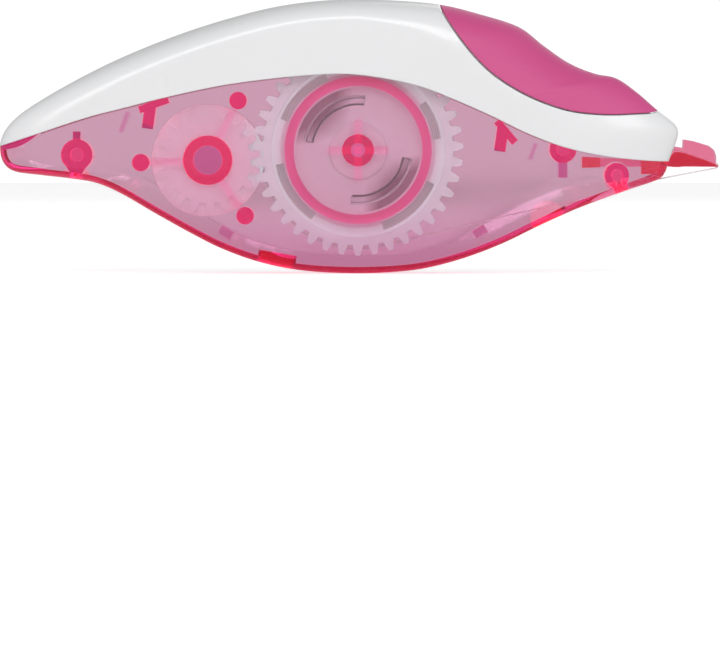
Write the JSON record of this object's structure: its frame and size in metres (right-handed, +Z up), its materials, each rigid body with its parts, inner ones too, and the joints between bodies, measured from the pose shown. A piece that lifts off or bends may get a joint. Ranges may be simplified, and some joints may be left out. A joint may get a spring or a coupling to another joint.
{
  "type": "correction tape roller",
  "caption": "Side-action correction tape roller: white saddle cover over a see-through case, geared tape and take-up spools, rubber finger grip and a flat applicator tip.",
  "frame": {"origin": "on the lowest line of the belly at mid thickness, under the tape spool axle", "axes": "+X towards the applicator tip, +Z up through the cover, +Y across the thickness to the rear half"},
  "size_m": [0.1076, 0.017, 0.041],
  "materials": {
    "case_pink": "clear tinted gloss",
    "cover_white": "gloss",
    "grip_rubber": "satin",
    "head_red": "clear tinted gloss",
    "gear_milky": "satin",
    "spring_milky": "satin",
    "core_white": "satin",
    "tape_white": "matte",
    "backing_paper": "satin"
  },
  "bodies": {
    "body": {"front_case": "case_pink", "rear_case": "case_pink", "top_cover": "cover_white", "finger_grip": "grip_rubber", "applicator_head": "head_red", "fresh_tape_run": "tape_white", "backing_return_run": "backing_paper"},
    "drive_gear": {"supply_gear": "gear_milky", "clutch_spring": "spring_milky"},
    "tape_spool": {"supply_core": "core_white", "fresh_tape_roll": "tape_white"},
    "takeup_spool": {"takeup_gear": "gear_milky", "takeup_drum": "core_white", "backing_roll": "backing_paper"}
  },
  "joints": [
    {"name": "drive_spin", "type": "hinge", "parent": "body", "child": "drive_gear", "pos_m": [0, 0, 0.0184], "axis": [0, 1, 0], "continuous": true},
    {"name": "clutch_slip", "type": "hinge", "parent": "drive_gear", "child": "tape_spool", "pos_m": [0, 0, 0.0184], "axis": [0, 1, 0], "continuous": true},
    {"name": "takeup_spin", "type": "hinge", "parent": "body", "child": "takeup_spool", "pos_m": [-0.02245, 0, 0.0169], "axis": [0, 1, 0], "continuous": true}
  ],
  "couplings": [
    {"joint": "takeup_spin", "follows": "drive_spin", "ratio": -2.0526}
  ]
}
